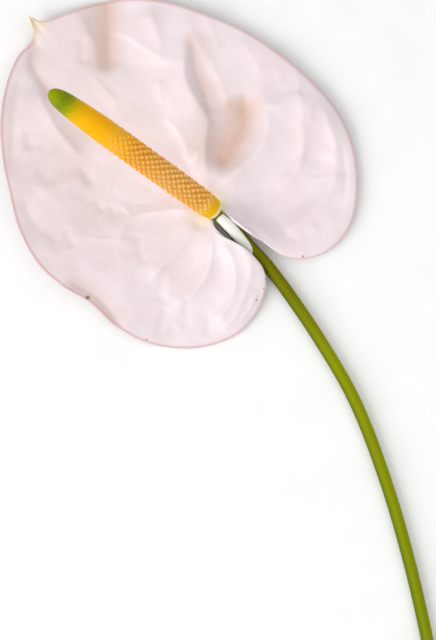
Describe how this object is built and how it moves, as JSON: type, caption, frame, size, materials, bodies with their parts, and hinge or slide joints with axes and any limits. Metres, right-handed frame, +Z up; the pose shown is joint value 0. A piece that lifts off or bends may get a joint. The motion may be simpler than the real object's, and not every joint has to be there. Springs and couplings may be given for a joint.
{
  "type": "anthurium cut flower",
  "caption": "Cut anthurium lying face up: a heart-shaped waxy spathe, the knobbly spadix that rises from its root, and the long curved stem.",
  "frame": {"origin": "middle of the whole flower's footprint, on the surface it lies on", "axes": "+Z up off the surface, +Y along the flower's longest extent, from the cut end of the stem towards the bloom; the spathe's tip points to -X +Y and the stem's cut end lies at +X -Y"},
  "size_m": [0.1845, 0.369, 0.0433],
  "materials": {
    "stem": "smooth satin plant stem, olive green at the joint and fresh yellow green further down",
    "spathe": "waxy blush-white petal-like leaf, satin gloss, raised ribs and a pale pink edge",
    "spadix": "dense small florets, peach orange at the base, yellow beyond them and green at the tip"
  },
  "bodies": {
    "root": {"stem": "stem", "spathe": "spathe", "spadix": "spadix"}
  },
  "joints": []
}
